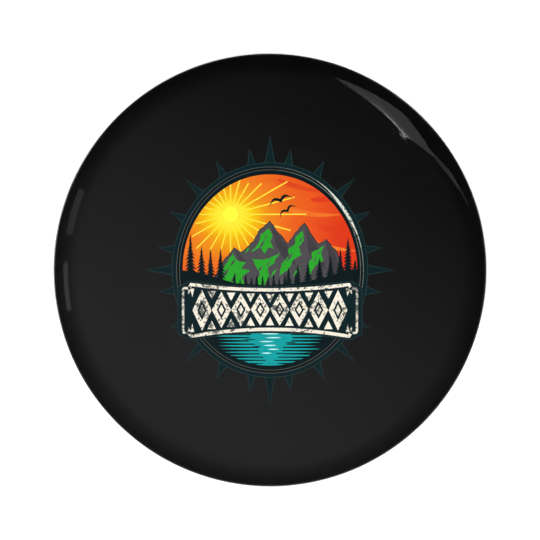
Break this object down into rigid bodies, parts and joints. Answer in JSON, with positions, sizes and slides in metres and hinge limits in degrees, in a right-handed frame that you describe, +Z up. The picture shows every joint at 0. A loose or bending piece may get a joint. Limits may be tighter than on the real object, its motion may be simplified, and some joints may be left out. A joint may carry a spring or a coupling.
{
  "type": "pin-back button badge",
  "caption": "Round pin-back button badge: printed sheet under clear film on a domed tin shell, with a sprung safety pin on the back plate.",
  "frame": {"origin": "on the button's axis, in the plane where the rim's rear land meets the cloth", "axes": "+Z up with the artwork upright, -Y out of the printed face, +Y into the cloth, +X to the right as the face is read"},
  "size_m": [0.0572, 0.0077, 0.0572],
  "materials": {
    "clear_film": "clear glossy polyester film",
    "printed_sheet": "printed paper, charcoal ground",
    "front_shell": "tinplate, satin",
    "back_plate": "tinplate, bright",
    "pin_wire": "plated spring steel wire"
  },
  "bodies": {
    "button": {"clear_film": "clear_film", "printed_sheet": "printed_sheet", "front_shell": "front_shell", "back_plate": "back_plate", "pin_leg": "pin_wire"},
    "needle": {"pin_needle": "pin_wire"}
  },
  "joints": [
    {"name": "pin_open", "type": "hinge", "parent": "button", "child": "needle", "pos_m": [-0.0175, 0, 0.0071], "axis": [0, -1, 0], "range_deg": [0, 35], "stiffness_Nm_per_rad": 0.15, "springref_deg": -9.74}
  ]
}
